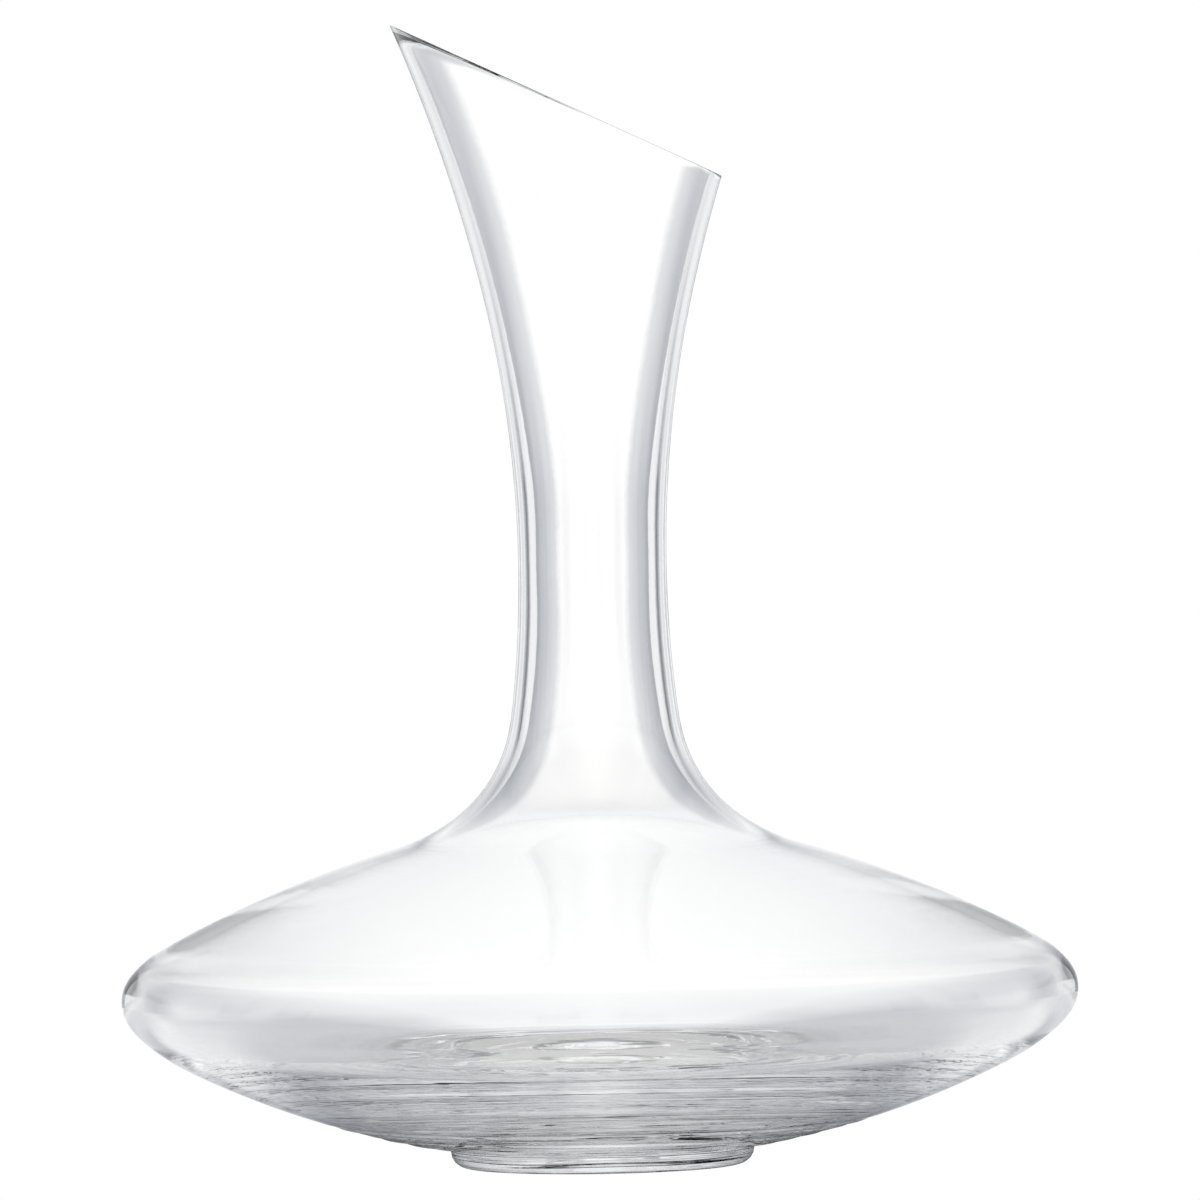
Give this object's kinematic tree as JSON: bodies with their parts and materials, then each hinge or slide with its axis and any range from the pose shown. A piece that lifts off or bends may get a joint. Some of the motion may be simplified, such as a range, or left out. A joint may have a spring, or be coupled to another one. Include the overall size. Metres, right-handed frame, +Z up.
{
  "type": "wine decanter",
  "caption": "Clear glass wine decanter: squat wide bowl on a low foot, slender waisted neck flaring to a slanted, straight-cut mouth.",
  "frame": {"origin": "centre of the foot's flat underside, on the decanter's axis", "axes": "+Z up the axis, towards the mouth; the mouth is cut at a slant whose high lip is towards -X and low lip towards +X; Y is across"},
  "size_m": [0.22, 0.22, 0.2619],
  "materials": {
    "foot_glass": "clear, ground flat underneath, fire-polished edge",
    "bowl_glass": "clear, blown and fire-polished, rippled thick floor",
    "neck_glass": "clear, blown, cut rim fire-polished"
  },
  "bodies": {
    "root": {"foot": "foot_glass", "bowl": "bowl_glass", "neck": "neck_glass"}
  },
  "joints": []
}
